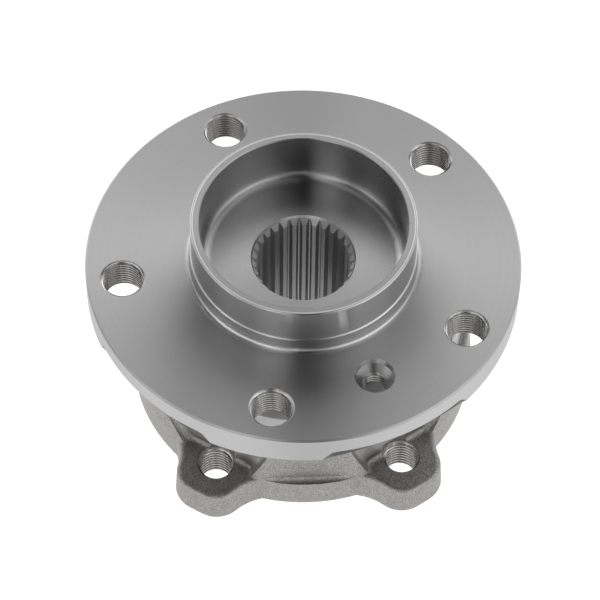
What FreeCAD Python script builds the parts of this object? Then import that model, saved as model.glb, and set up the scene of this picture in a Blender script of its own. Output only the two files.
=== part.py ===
import FreeCAD, Part
import math
import os

# Wheel hub bearing unit for a driven wheel, sizes in millimetres.
# Z is the spin axis. Z = 0 is the face that the brake disc and wheel bolt up to.
# The pilot ring stands above that face, and the steering knuckle takes the housing from below.

os.makedirs("parts", exist_ok=True)

# Ball rows, which the rings are built round
BALL_DIAMETER = 13.5
BALL_CIRCLE_DIAMETER = 72.0
BALL_COUNT = 15
CONTACT_ANGLE = 40.0
ROW_SPACING = 26.0
GROOVE_CONFORMITY = 0.52       # groove radius as a share of the ball's diameter
BALL_CLEARANCE = 0.03          # between ball and groove along the contact line
BALL_RADIUS = BALL_DIAMETER / 2.0
BALL_CIRCLE_RADIUS = BALL_CIRCLE_DIAMETER / 2.0
GROOVE_RADIUS = GROOVE_CONFORMITY * BALL_DIAMETER

# Inner raceway side, as distances from the ball circle inwards
INNER_SHOULDER_DROP = 1.4
INNER_LAND_DROP = 5.7
INNER_RING_WALL = 6.8
INNER_RING_CHAMFER = 1.0
INNER_RING_TAIL = 13.5         # inner ring below the inboard row
NOSE_OVERLAP = 4.1             # formed nose over the end of the inner ring
NOSE_HEIGHT = 4.5
NOSE_FILLET = 1.6
INNER_SHOULDER_RADIUS = BALL_CIRCLE_RADIUS - INNER_SHOULDER_DROP
INNER_LAND_RADIUS = BALL_CIRCLE_RADIUS - INNER_LAND_DROP
SPINDLE_RADIUS = INNER_LAND_RADIUS - INNER_RING_WALL
NOSE_RADIUS = SPINDLE_RADIUS + NOSE_OVERLAP

# Outer ring bore, as steps from the ball circle outwards
OUTER_SHOULDER_RISE = 5.2
OUTER_MOUTH_CLEARANCE = 0.15   # between the outermost line of the balls and the plain bore
OUTBOARD_SEAL_STEP = 1.6
OUTBOARD_SEAL_DEPTH = 6.0
INBOARD_SEAL_STEP = 0.5
INBOARD_SEAL_DEPTH = 11.9
OUTER_SHOULDER_RADIUS = BALL_CIRCLE_RADIUS + OUTER_SHOULDER_RISE
OUTER_MOUTH_RADIUS = BALL_CIRCLE_RADIUS + BALL_RADIUS + OUTER_MOUTH_CLEARANCE
OUTBOARD_SEAL_RADIUS = OUTER_MOUTH_RADIUS + OUTBOARD_SEAL_STEP
INBOARD_SEAL_RADIUS = OUTER_MOUTH_RADIUS + INBOARD_SEAL_STEP

# Wheel bolt holes, threaded
WHEEL_BOLT_COUNT = 5
WHEEL_BOLT_CIRCLE_DIAMETER = 120.0
WHEEL_BOLT_RADIUS = 7.0
WHEEL_BOLT_CHAMFER = 0.45
WHEEL_BOLT_FIRST_ANGLE = 41.64
WHEEL_BOLT_EDGE = 5.0          # from a bolt hole to the flange's edge
WHEEL_BOLT_CIRCLE_RADIUS = WHEEL_BOLT_CIRCLE_DIAMETER / 2.0

# Wheel flange
FLANGE_THICKNESS = 11.5
FLANGE_EDGE_CHAMFER = 0.6
FLANGE_RADIUS = WHEEL_BOLT_CIRCLE_RADIUS + WHEEL_BOLT_RADIUS + WHEEL_BOLT_EDGE
RIM_THICKNESS = 7.0            # edge of the flange between two bolt pads
RIM_RELIEF_BITE = 3.8          # flange's edge to the top of the relief wall
RIM_RELIEF_DRAFT = 17.0        # degrees that the relief wall leans inwards
RIM_RELIEF_FILLET = 1.0
WEB_THICKNESS = 8.1            # flange above the pocket between two bolt pads
WEB_POCKET_INSET = 2.0         # pocket outside the seal's face
WEB_POCKET_EDGE = 10.5         # pocket inside the flange's edge
WEB_POCKET_HALF_ANGLE = 10.5
WEB_POCKET_FILLET = 2.0

# Hole for the brake disc's locating screw, midway between two wheel bolts
SCREW_INSET = 8.0              # hole inside the circle of the wheel bolts
SCREW_RADIUS = 4.0
SCREW_MOUTH_RADIUS = 6.6
SCREW_MOUTH_DEPTH = 1.95
SCREW_MOUTH_TAPER = 0.45       # how much the mouth narrows over its depth
SCREW_GAP = 3                  # the hole follows this wheel bolt, counted from 0

# Pilot ring and its cup
PILOT_RADIUS = 37.05
PILOT_HEIGHT = 20.0
PILOT_WALL = 2.85
PILOT_CHAMFER = 0.35
DISC_SEAT_STEP = 0.4           # disc seat outside the rest of the pilot
DISC_SEAT_HEIGHT = 6.3
PILOT_ROOT_FILLET = 2.0
CUP_FLOOR_HEIGHT = 0.4
CUP_FLOOR_FILLET = 3.6
DISC_SEAT_RADIUS = PILOT_RADIUS + DISC_SEAT_STEP
CUP_RADIUS = PILOT_RADIUS - PILOT_WALL

# Splined bore for the drive shaft
SPLINE_TEETH = 30
SHAFT_BORE_RADIUS = 15.6       # to the lands of the teeth
SPLINE_TOOTH_HEIGHT = 1.3
SPLINE_LAND_WIDTH = 1.25       # tooth land at the minor radius
SPLINE_ROOT_WIDTH = 0.55       # valley floor at the major radius
SPLINE_FIRST_VALLEY = 8.0
SPLINE_MOUTH_CLEARANCE = 0.5   # lead-in cone outside the teeth's roots
SPLINE_MOUTH_ANGLE = 30.0
SPLINE_RELIEF_CLEARANCE = 1.3  # plain counterbore at the shaft side, outside the roots
SPLINE_RELIEF_DEPTH = 7.0
SPLINE_MAJOR_RADIUS = SHAFT_BORE_RADIUS + SPLINE_TOOTH_HEIGHT
SPLINE_MOUTH_RADIUS = SPLINE_MAJOR_RADIUS + SPLINE_MOUTH_CLEARANCE
SPLINE_RELIEF_RADIUS = SPLINE_MAJOR_RADIUS + SPLINE_RELIEF_CLEARANCE

# Track and face on the hub that the outboard seal runs on
SEAL_TRACK_RISE = 3.0          # track outside the ball circle
SEAL_TRACK_DEPTH = 4.2         # track's end below the outer ring's top
SEAL_TRACK_FILLET = 1.4
SEAL_FACE_DROP = 1.1           # seal face below the back of the flange
SEAL_TRACK_RADIUS = BALL_CIRCLE_RADIUS + SEAL_TRACK_RISE
SEAL_FACE_RADIUS = OUTBOARD_SEAL_RADIUS

# Outer ring body
RING_GAP = 4.5                 # air between the flange and the outer ring
ROW_DEPTH = 11.5               # outboard row below the ring's top
COLLAR_WALL = 9.5
COLLAR_CHAMFER = 0.4
COLLAR_HEIGHT = 17.5
BODY_STEP = 3.8                # body outside the collar
BODY_DRAFT = 5.0
COLLAR_ROOT_FILLET = 0.6
KNUCKLE_FACE_DEPTH = 7.5       # knuckle face below the inboard row
KNUCKLE_EDGE_ROUND = 1.8
SPIGOT_WALL = 3.1
SPIGOT_LENGTH = 11.5
SPIGOT_CHAMFER = 1.2
SIDE_FLAT_STEP = 1.6           # foot of the flat outside the collar
SIDE_FLAT_FILLET = 1.6
COLLAR_RADIUS = OUTBOARD_SEAL_RADIUS + COLLAR_WALL
BODY_RADIUS = COLLAR_RADIUS + BODY_STEP
SPIGOT_RADIUS = INBOARD_SEAL_RADIUS + SPIGOT_WALL
SIDE_FLAT_DISTANCE = COLLAR_RADIUS + SIDE_FLAT_STEP

# Mounting lugs, two close together on each side
LUG_MIDDLE_ANGLE = 270.0       # halfway between the two lugs of a pair
LUG_HALF_SPREAD = 32.75
LUG_THICKNESS = 12.5
LUG_HOLE_STANDOFF = 3.3        # middle of the hole outside the collar
LUG_HOLE_RADIUS = 6.0
LUG_HOLE_CHAMFER = 0.3
LUG_TIP_REACH = 13.5           # middle of the hole to the tip, at the knuckle face
LUG_TIP_HALF_ANGLE = 2.3
LUG_CORNER_RADIUS = 9.7
LUG_ROOT_RADIUS = 19.0
LUG_DRAFT = 3.4                # degrees, narrower towards the top
LUG_ROOT_SINK = 1.4            # hollow root runs out this far inside the body
LUG_EDGE_ROUND = 1.8
SCOOP_BITE = 1.4               # flat behind the lug, inside the collar
SCOOP_NEAR_REACH = 11.2        # middle of the hole to the wall towards the other lug
SCOOP_NEAR_LEAN = 25.0
SCOOP_FAR_REACH = 12.5         # middle of the hole to the wall on the far side
SCOOP_FAR_LEAN = 48.0
SCOOP_STEP_HEIGHT = 6.2        # shelf above the lug's top on the far side
SCOOP_STEP_ROUND = 3.0
SCOOP_FILLET = 2.0
LUG_CIRCLE_RADIUS = COLLAR_RADIUS + LUG_HOLE_STANDOFF
LUG_TIP_RADIUS = LUG_CIRCLE_RADIUS + LUG_TIP_REACH
SCOOP_DISTANCE = COLLAR_RADIUS - SCOOP_BITE

# Ball cages
CAGE_THICKNESS = 5.2
CAGE_RING = 1.85               # solid ring of the cage behind the balls
CAGE_FRONT = 2.4               # claws in front of the ball centres
CAGE_POCKET_CLEARANCE = 0.2

# Seals
SEAL_SHEET = 0.8
SEAL_INSET = 0.6               # case below the end of its bore
SEAL_LIP_CLEARANCE = 0.1
OUTBOARD_CASE_LEG = 2.3
INBOARD_CASE_LEG = 4.0
INBOARD_CASE_HEIGHT = 5.4
SLINGER_CLEARANCE = 0.4
ENCODER_WIDTH = 5.7
ENCODER_THICKNESS = 1.0

# Heights worked out from the sizes above
FLANGE_BACK_Z = -FLANGE_THICKNESS
SEAL_FACE_Z = FLANGE_BACK_Z - SEAL_FACE_DROP
RING_TOP_Z = FLANGE_BACK_Z - RING_GAP
SEAL_TRACK_END_Z = RING_TOP_Z - SEAL_TRACK_DEPTH
OUTBOARD_ROW_Z = RING_TOP_Z - ROW_DEPTH
INBOARD_ROW_Z = OUTBOARD_ROW_Z - ROW_SPACING
ROW_MIDDLE_Z = OUTBOARD_ROW_Z - ROW_SPACING / 2.0
COLLAR_BOTTOM_Z = RING_TOP_Z - COLLAR_HEIGHT
KNUCKLE_FACE_Z = INBOARD_ROW_Z - KNUCKLE_FACE_DEPTH
LUG_TOP_Z = KNUCKLE_FACE_Z + LUG_THICKNESS
SPIGOT_END_Z = KNUCKLE_FACE_Z - SPIGOT_LENGTH
INNER_RING_END_Z = INBOARD_ROW_Z - INNER_RING_TAIL
NOSE_END_Z = INNER_RING_END_Z - NOSE_HEIGHT
BODY_TOP_RADIUS = BODY_RADIUS - (COLLAR_BOTTOM_Z - LUG_TOP_Z) * math.tan(math.radians(BODY_DRAFT))

# Working allowances
OVERCUT = 5.0                  # how far a cutting shape runs past what it cuts
LEAD = 0.2                     # how far a countersink's cone runs past the face
TOUCH = 0.01                   # nearness that counts as lying on the same plane

AXIS = FreeCAD.Vector(0, 0, 1)
ORIGIN = FreeCAD.Vector(0, 0, 0)


def polar(radius, angle, z=0.0):
    """Point at a radius and an angle in degrees around the spin axis."""
    turn = math.radians(angle)
    return FreeCAD.Vector(radius * math.cos(turn), radius * math.sin(turn), z)


def rounded_wire(corners, place):
    """Closed outline through corners (a, b, round), with an arc at each corner that has a round.

    place turns the two numbers of a corner into a point in space.
    """
    edges = []
    starts = []
    ends = []
    arcs = []
    count = len(corners)
    for index in range(count):
        before = place(*corners[index - 1][:2])
        here = place(*corners[index][:2])
        after = place(*corners[(index + 1) % count][:2])
        radius = corners[index][2] if len(corners[index]) > 2 else 0.0
        if radius <= 0.0:
            starts.append(here)
            ends.append(here)
            arcs.append(None)
            continue
        to_before = (before - here).normalize()
        to_after = (after - here).normalize()
        half_angle = to_before.getAngle(to_after) / 2.0
        reach = radius / math.tan(half_angle)
        bisector = (to_before + to_after).normalize()
        centre = here + bisector * (radius / math.sin(half_angle))
        first = here + to_before * reach
        last = here + to_after * reach
        starts.append(first)
        ends.append(last)
        arcs.append(Part.Arc(first, centre - bisector * radius, last))
    for index in range(count):
        if arcs[index]:
            edges.append(arcs[index].toShape())
        leave = ends[index]
        arrive = starts[(index + 1) % count]
        if leave.distanceToPoint(arrive) > 1e-6:
            edges.append(Part.makeLine(leave, arrive))
    return Part.Wire(edges)


def turned(corners, angle=360.0, start=0.0):
    """Solid turned about the spin axis from an outline of corners (radius, height, round)."""
    face = Part.Face(rounded_wire(corners, lambda r, z: FreeCAD.Vector(r, 0, z)))
    solid = face.revolve(ORIGIN, AXIS, angle)
    solid.rotate(ORIGIN, AXIS, start)
    return solid


def threaded_hole(radius, chamfer, top_z, bottom_z):
    """Cutter for a through hole at the thread's major radius, with its upper mouth countersunk.

    The drill runs past the upper face, so that it also bites into a wall beside the hole.
    """
    wide = radius + chamfer + LEAD
    corners = [
        (0, top_z + OVERCUT),
        (wide, top_z + OVERCUT),
        (wide, top_z + LEAD),
        (radius, top_z - chamfer),
        (radius, bottom_z - OVERCUT),
        (0, bottom_z - OVERCUT),
    ]
    return turned(corners)


def at_polar(shape, radius, angle):
    """Copy of a shape moved out to a radius and turned to an angle about the spin axis."""
    moved = shape.copy()
    moved.translate(FreeCAD.Vector(radius, 0, 0))
    moved.rotate(ORIGIN, AXIS, angle)
    return moved


def groove(row_z, outward, towards):
    """Ring-shaped cutter for one raceway.

    outward is 1 for the outer raceway and -1 for the inner one. towards is 1 where the
    contact lies above the ball's centre and -1 where it lies below. The groove's centre is
    set back from the ball's, so that ball and groove come together along the contact line.
    """
    set_back = GROOVE_RADIUS - BALL_RADIUS - BALL_CLEARANCE
    lean = math.radians(CONTACT_ANGLE)
    centre_radius = BALL_CIRCLE_RADIUS - outward * set_back * math.cos(lean)
    centre_z = row_z - towards * set_back * math.sin(lean)
    return Part.makeTorus(centre_radius, GROOVE_RADIUS, FreeCAD.Vector(0, 0, centre_z))


# The hub

def hub_blank():
    """Flange, pilot ring and spindle turned in one piece, bored to the spline's minor radius."""
    corners = [
        (SHAFT_BORE_RADIUS, CUP_FLOOR_HEIGHT),
        (CUP_RADIUS, CUP_FLOOR_HEIGHT, CUP_FLOOR_FILLET),
        (CUP_RADIUS, PILOT_HEIGHT - PILOT_CHAMFER),
        (CUP_RADIUS + PILOT_CHAMFER, PILOT_HEIGHT),
        (PILOT_RADIUS - PILOT_CHAMFER, PILOT_HEIGHT),
        (PILOT_RADIUS, PILOT_HEIGHT - PILOT_CHAMFER),
        (PILOT_RADIUS, DISC_SEAT_HEIGHT),
        (DISC_SEAT_RADIUS, DISC_SEAT_HEIGHT - DISC_SEAT_STEP),
        (DISC_SEAT_RADIUS, 0, PILOT_ROOT_FILLET),
        (FLANGE_RADIUS - FLANGE_EDGE_CHAMFER, 0),
        (FLANGE_RADIUS, -FLANGE_EDGE_CHAMFER),
        (FLANGE_RADIUS, FLANGE_BACK_Z + FLANGE_EDGE_CHAMFER),
        (FLANGE_RADIUS - FLANGE_EDGE_CHAMFER, FLANGE_BACK_Z),
        (SEAL_FACE_RADIUS + SEAL_FACE_DROP, FLANGE_BACK_Z),
        (SEAL_FACE_RADIUS, SEAL_FACE_Z),
        (SEAL_TRACK_RADIUS, SEAL_FACE_Z, SEAL_TRACK_FILLET),
        (SEAL_TRACK_RADIUS, SEAL_TRACK_END_Z),
        (INNER_SHOULDER_RADIUS, SEAL_TRACK_END_Z),
        (INNER_SHOULDER_RADIUS, OUTBOARD_ROW_Z),
        (INNER_LAND_RADIUS, OUTBOARD_ROW_Z),
        (INNER_LAND_RADIUS, ROW_MIDDLE_Z),
        (SPINDLE_RADIUS, ROW_MIDDLE_Z),
        (SPINDLE_RADIUS, INNER_RING_END_Z),
        (NOSE_RADIUS, INNER_RING_END_Z),
        (NOSE_RADIUS, NOSE_END_Z, NOSE_FILLET),
        (SHAFT_BORE_RADIUS, NOSE_END_Z),
    ]
    return turned(corners)


def spline_cutter():
    """Internal spline: the bore's outline with one straight-sided valley for each tooth gap."""
    pitch = 360.0 / SPLINE_TEETH
    land_half = math.degrees(SPLINE_LAND_WIDTH / SHAFT_BORE_RADIUS) / 2.0
    root_half = math.degrees(SPLINE_ROOT_WIDTH / SPLINE_MAJOR_RADIUS) / 2.0
    bottom_z = NOSE_END_Z - OVERCUT
    edges = []
    for tooth in range(SPLINE_TEETH):
        valley = SPLINE_FIRST_VALLEY + tooth * pitch
        land = valley + pitch / 2.0
        mouth_a = polar(SHAFT_BORE_RADIUS, land - pitch + land_half, bottom_z)
        root_a = polar(SPLINE_MAJOR_RADIUS, valley - root_half, bottom_z)
        root_middle = polar(SPLINE_MAJOR_RADIUS, valley, bottom_z)
        root_b = polar(SPLINE_MAJOR_RADIUS, valley + root_half, bottom_z)
        mouth_b = polar(SHAFT_BORE_RADIUS, land - land_half, bottom_z)
        land_middle = polar(SHAFT_BORE_RADIUS, land, bottom_z)
        land_end = polar(SHAFT_BORE_RADIUS, land + land_half, bottom_z)
        edges.append(Part.makeLine(mouth_a, root_a))
        edges.append(Part.Arc(root_a, root_middle, root_b).toShape())
        edges.append(Part.makeLine(root_b, mouth_b))
        edges.append(Part.Arc(mouth_b, land_middle, land_end).toShape())
    outline = Part.Face(Part.Wire(edges))
    return outline.extrude(AXIS * (CUP_FLOOR_HEIGHT - bottom_z + OVERCUT))


def spline_mouths():
    """Lead-in cone at the cup's floor and plain counterbore where the drive shaft enters."""
    slope = math.tan(math.radians(SPLINE_MOUTH_ANGLE))
    cone_depth = SPLINE_MOUTH_RADIUS / slope
    cone_tip = CUP_FLOOR_HEIGHT - cone_depth
    cone_top = CUP_FLOOR_HEIGHT + OVERCUT
    wide = SPLINE_MOUTH_RADIUS + OVERCUT * slope
    cone = turned([(0, cone_tip), (wide, cone_top), (0, cone_top)])
    step = SPLINE_RELIEF_RADIUS - SHAFT_BORE_RADIUS
    relief_top = NOSE_END_Z + SPLINE_RELIEF_DEPTH
    relief = turned([
        (0, relief_top + step),
        (SHAFT_BORE_RADIUS, relief_top + step),
        (SPLINE_RELIEF_RADIUS, relief_top),
        (SPLINE_RELIEF_RADIUS, NOSE_END_Z - OVERCUT),
        (0, NOSE_END_Z - OVERCUT),
    ])
    return cone.fuse(relief)


def rim_relief():
    """Cutter that thins the flange's rim between two bolt pads, with a leaning straight wall."""
    lean = math.tan(math.radians(RIM_RELIEF_DRAFT))
    bottom_z = FLANGE_BACK_Z - OVERCUT
    top = FLANGE_RADIUS - RIM_RELIEF_BITE
    foot = top - (-RIM_THICKNESS - bottom_z) * lean
    outside = FLANGE_RADIUS + OVERCUT
    half = FLANGE_RADIUS / 2.0
    corners = [
        (top, -RIM_THICKNESS, RIM_RELIEF_FILLET),
        (outside, -RIM_THICKNESS),
        (outside, bottom_z),
        (foot, bottom_z),
    ]
    section = Part.Face(rounded_wire(corners, lambda x, z: FreeCAD.Vector(x, -half, z)))
    return section.extrude(FreeCAD.Vector(0, 2.0 * half, 0))


def web_pocket():
    """Kidney-shaped pocket in the back of the flange, between two bolt pads."""
    bottom_z = FLANGE_BACK_Z - OVERCUT
    inside = SEAL_FACE_RADIUS + WEB_POCKET_INSET
    outside = FLANGE_RADIUS - WEB_POCKET_EDGE
    middle = (inside + outside) / 2.0
    half_width = (outside - inside) / 2.0
    corners = [(inside, bottom_z), (outside, bottom_z), (outside, -WEB_THICKNESS), (inside, -WEB_THICKNESS)]
    kidney = turned(corners, 2.0 * WEB_POCKET_HALF_ANGLE, -WEB_POCKET_HALF_ANGLE)
    height = -WEB_THICKNESS - bottom_z
    for end in (-WEB_POCKET_HALF_ANGLE, WEB_POCKET_HALF_ANGLE):
        kidney = kidney.fuse(Part.makeCylinder(half_width, height, polar(middle, end, bottom_z)))
    kidney = kidney.removeSplitter()
    floor_edges = [edge for edge in kidney.Edges if edge.BoundBox.ZMin > -WEB_THICKNESS - TOUCH]
    return kidney.makeFillet(WEB_POCKET_FILLET, floor_edges)


def screw_hole():
    """Stepped countersink and threaded hole for the disc's locating screw, at the origin."""
    throat = SCREW_MOUTH_RADIUS - SCREW_MOUTH_TAPER
    throat_z = -SCREW_MOUTH_DEPTH
    thread_z = throat_z - (throat - SCREW_RADIUS)
    corners = [
        (0, OVERCUT),
        (SCREW_MOUTH_RADIUS, OVERCUT),
        (SCREW_MOUTH_RADIUS, 0),
        (throat, throat_z),
        (SCREW_RADIUS, thread_z),
        (SCREW_RADIUS, FLANGE_BACK_Z - OVERCUT),
        (0, FLANGE_BACK_Z - OVERCUT),
    ]
    return turned(corners)


def wheel_hub():
    """Hub with its flange, pilot ring, outboard inner raceway, spline and formed nose."""
    step = 360.0 / WHEEL_BOLT_COUNT
    bolt_hole = threaded_hole(WHEEL_BOLT_RADIUS, WHEEL_BOLT_CHAMFER, 0.0, FLANGE_BACK_Z)
    relief = rim_relief()
    pocket = web_pocket()
    cutters = []
    for index in range(WHEEL_BOLT_COUNT):
        bolt_angle = WHEEL_BOLT_FIRST_ANGLE + index * step
        cutters.append(at_polar(bolt_hole, WHEEL_BOLT_CIRCLE_RADIUS, bolt_angle))
        cutters.append(at_polar(relief, 0.0, bolt_angle + step / 2.0))
        cutters.append(at_polar(pocket, 0.0, bolt_angle + step / 2.0))
    screw_angle = WHEEL_BOLT_FIRST_ANGLE + (SCREW_GAP + 0.5) * step
    cutters.append(at_polar(screw_hole(), WHEEL_BOLT_CIRCLE_RADIUS - SCREW_INSET, screw_angle))
    cutters.append(groove(OUTBOARD_ROW_Z, -1, 1))
    cutters.append(spline_cutter())
    cutters.append(spline_mouths())
    return hub_blank().cut(cutters)


def inner_ring():
    """Inboard inner ring, pressed on the spindle and held by the formed nose."""
    corners = [
        (SPINDLE_RADIUS, ROW_MIDDLE_Z),
        (INNER_LAND_RADIUS, ROW_MIDDLE_Z),
        (INNER_LAND_RADIUS, INBOARD_ROW_Z),
        (INNER_SHOULDER_RADIUS, INBOARD_ROW_Z),
        (INNER_SHOULDER_RADIUS, INNER_RING_END_Z + INNER_RING_CHAMFER / 2.0),
        (INNER_SHOULDER_RADIUS - INNER_RING_CHAMFER / 2.0, INNER_RING_END_Z),
        (SPINDLE_RADIUS + INNER_RING_CHAMFER, INNER_RING_END_Z),
        (SPINDLE_RADIUS, INNER_RING_END_Z + INNER_RING_CHAMFER),
    ]
    return turned(corners).cut(groove(INBOARD_ROW_Z, -1, -1))


# The outer ring

def ring_blank():
    """Turned shape of the outer ring: machined collar, forged body and knuckle spigot."""
    corners = [
        (0, RING_TOP_Z),
        (COLLAR_RADIUS - COLLAR_CHAMFER, RING_TOP_Z),
        (COLLAR_RADIUS, RING_TOP_Z - COLLAR_CHAMFER),
        (COLLAR_RADIUS, COLLAR_BOTTOM_Z, COLLAR_ROOT_FILLET),
        (BODY_TOP_RADIUS, COLLAR_BOTTOM_Z, (BODY_TOP_RADIUS - COLLAR_RADIUS) / 2.0),
        (BODY_RADIUS, LUG_TOP_Z),
        (BODY_RADIUS, KNUCKLE_FACE_Z, KNUCKLE_EDGE_ROUND),
        (SPIGOT_RADIUS, KNUCKLE_FACE_Z),
        (SPIGOT_RADIUS, SPIGOT_END_Z + SPIGOT_CHAMFER),
        (SPIGOT_RADIUS - SPIGOT_CHAMFER, SPIGOT_END_Z),
        (0, SPIGOT_END_Z),
    ]
    return turned(corners)


def lug_outline(z):
    """Outline of one mounting lug at a height, pointing along X: tip, two corners, two hollow roots.

    The hollow root touches both the corner's circle and a circle just inside the body, so its
    centre follows from the triangle between the spin axis, the corner's centre and its own.
    The draft shrinks the tip and the corners towards the top and widens the hollow roots.
    """
    shrink = (z - KNUCKLE_FACE_Z) * math.tan(math.radians(LUG_DRAFT))
    sunk_radius = BODY_RADIUS - LUG_ROOT_SINK
    corner_reach = LUG_TIP_RADIUS - LUG_CORNER_RADIUS
    root_reach = sunk_radius + LUG_ROOT_RADIUS
    link = LUG_CORNER_RADIUS + LUG_ROOT_RADIUS
    cosine = (root_reach ** 2 + corner_reach ** 2 - link ** 2) / (2.0 * root_reach * corner_reach)
    root_angle = LUG_TIP_HALF_ANGLE + math.degrees(math.acos(cosine))
    tip_radius = LUG_TIP_RADIUS - shrink
    body_radius = sunk_radius - shrink

    def arc(first, centre, radius, last):
        bulge = ((first + last) * 0.5 - centre).normalize() * radius
        return Part.Arc(first, centre + bulge, last).toShape()

    sides = []
    for side in (-1, 1):
        corner_centre = polar(corner_reach, side * LUG_TIP_HALF_ANGLE, z)
        root_centre = polar(root_reach, side * root_angle, z)
        link_direction = (root_centre - corner_centre).normalize()
        tip_point = polar(tip_radius, side * LUG_TIP_HALF_ANGLE, z)
        flank_point = corner_centre + link_direction * (LUG_CORNER_RADIUS - shrink)
        body_point = polar(body_radius, side * root_angle, z)
        inside_point = polar(SPIGOT_RADIUS, side * root_angle, z)
        corner = arc(tip_point, corner_centre, LUG_CORNER_RADIUS - shrink, flank_point)
        root = arc(flank_point, root_centre, LUG_ROOT_RADIUS + shrink, body_point)
        inward = Part.makeLine(body_point, inside_point)
        sides.append((tip_point, inside_point, [corner, root, inward]))
    tip = arc(sides[0][0], FreeCAD.Vector(0, 0, z), tip_radius, sides[1][0])
    back = Part.makeLine(sides[0][1], sides[1][1])
    return Part.Wire(Part.__sortEdges__([tip, back] + sides[0][2] + sides[1][2]))


def lug():
    """One mounting lug, pointing along X, with its upper and lower edges rounded."""
    solid = Part.makeLoft([lug_outline(KNUCKLE_FACE_Z), lug_outline(LUG_TOP_Z)], True, True)
    hidden = (BODY_RADIUS + SPIGOT_RADIUS) / 2.0
    for level, radius in ((LUG_TOP_Z, LUG_EDGE_ROUND), (KNUCKLE_FACE_Z, KNUCKLE_EDGE_ROUND)):
        edges = []
        for edge in solid.Edges:
            middle = edge.valueAt((edge.FirstParameter + edge.LastParameter) / 2.0)
            flat = edge.BoundBox.ZLength < TOUCH and abs(middle.z - level) < TOUCH
            if flat and math.hypot(middle.x, middle.y) > hidden:
                edges.append(edge)
        solid = solid.makeFillet(radius, edges)
    return solid


def scoop(side):
    """Cutter for the hollow above one lug, pointing along X.

    It leaves a flat wall behind the lug. Towards the other lug of the pair it ends in a
    leaning wall square to the knuckle bolts' rectangle. On the far side its floor climbs to a
    shelf, which runs out of the body. side is 1 where the far side lies at positive Y.
    """
    top_z = RING_TOP_Z + OVERCUT
    rise = top_z - LUG_TOP_Z
    reach = LUG_TIP_RADIUS + OVERCUT
    step_z = LUG_TOP_Z + SCOOP_STEP_HEIGHT
    far_top = SCOOP_FAR_REACH + SCOOP_STEP_HEIGHT * math.tan(math.radians(SCOOP_FAR_LEAN))
    corners = [
        (-side * reach, LUG_TOP_Z),
        (side * SCOOP_FAR_REACH, LUG_TOP_Z, SCOOP_FILLET),
        (side * far_top, step_z, SCOOP_STEP_ROUND),
        (side * reach, step_z),
        (side * reach, top_z),
        (-side * reach, top_z),
    ]
    behind = Part.Face(rounded_wire(corners, lambda y, z: FreeCAD.Vector(SCOOP_DISTANCE, y, z)))
    behind = behind.extrude(FreeCAD.Vector(reach, 0, 0))
    near = LUG_CIRCLE_RADIUS * math.sin(math.radians(LUG_HALF_SPREAD)) - SCOOP_NEAR_REACH
    near_top = near - rise * math.tan(math.radians(SCOOP_NEAR_LEAN))
    corners = [
        (side * near, LUG_TOP_Z),
        (side * reach * 2.0, LUG_TOP_Z),
        (side * reach * 2.0, top_z),
        (side * near_top, top_z),
    ]
    beside = Part.Face(rounded_wire(corners, lambda y, z: FreeCAD.Vector(0, y, z)))
    beside = beside.extrude(FreeCAD.Vector(reach * 2.0, 0, 0))
    beside.rotate(ORIGIN, AXIS, -side * LUG_HALF_SPREAD)
    solid = behind.common(beside)
    inner_edges = []
    for edge in solid.Edges:
        box = edge.BoundBox
        on_back = box.XMax < SCOOP_DISTANCE + TOUCH and box.ZMin < top_z - TOUCH
        on_back = on_back and abs(box.YMin + box.YMax) < 2.0 * reach - TOUCH
        on_floor = box.ZMax < LUG_TOP_Z + TOUCH and box.XMin < SCOOP_DISTANCE + TOUCH
        if on_back or on_floor:
            inner_edges.append(edge)
    return solid.makeFillet(SCOOP_FILLET, inner_edges)


def side_flat():
    """Cutter for the drafted flat between the two lugs of a pair, which leaves a ledge below it."""
    half = LUG_CIRCLE_RADIUS * math.sin(math.radians(LUG_HALF_SPREAD))
    outside = LUG_TIP_RADIUS + OVERCUT
    top = SIDE_FLAT_DISTANCE - (COLLAR_BOTTOM_Z - LUG_TOP_Z) * math.tan(math.radians(BODY_DRAFT))
    corners = [
        (SIDE_FLAT_DISTANCE, LUG_TOP_Z, SIDE_FLAT_FILLET),
        (outside, LUG_TOP_Z),
        (outside, COLLAR_BOTTOM_Z),
        (top, COLLAR_BOTTOM_Z),
    ]
    section = Part.Face(rounded_wire(corners, lambda x, z: FreeCAD.Vector(x, -half, z)))
    return section.extrude(FreeCAD.Vector(0, 2.0 * half, 0))


def ring_bore():
    """Cutter for the outer ring's inside: both seal seats, both mouths and the middle shoulder."""
    outboard_step = RING_TOP_Z - OUTBOARD_SEAL_DEPTH
    inboard_step = SPIGOT_END_Z + INBOARD_SEAL_DEPTH
    corners = [
        (0, RING_TOP_Z + OVERCUT),
        (OUTBOARD_SEAL_RADIUS, RING_TOP_Z + OVERCUT),
        (OUTBOARD_SEAL_RADIUS, outboard_step),
        (OUTER_MOUTH_RADIUS, outboard_step),
        (OUTER_MOUTH_RADIUS, OUTBOARD_ROW_Z),
        (OUTER_SHOULDER_RADIUS, OUTBOARD_ROW_Z),
        (OUTER_SHOULDER_RADIUS, INBOARD_ROW_Z),
        (OUTER_MOUTH_RADIUS, INBOARD_ROW_Z),
        (OUTER_MOUTH_RADIUS, inboard_step),
        (INBOARD_SEAL_RADIUS, inboard_step),
        (INBOARD_SEAL_RADIUS, SPIGOT_END_Z - OVERCUT),
        (0, SPIGOT_END_Z - OVERCUT),
    ]
    return turned(corners)


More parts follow.
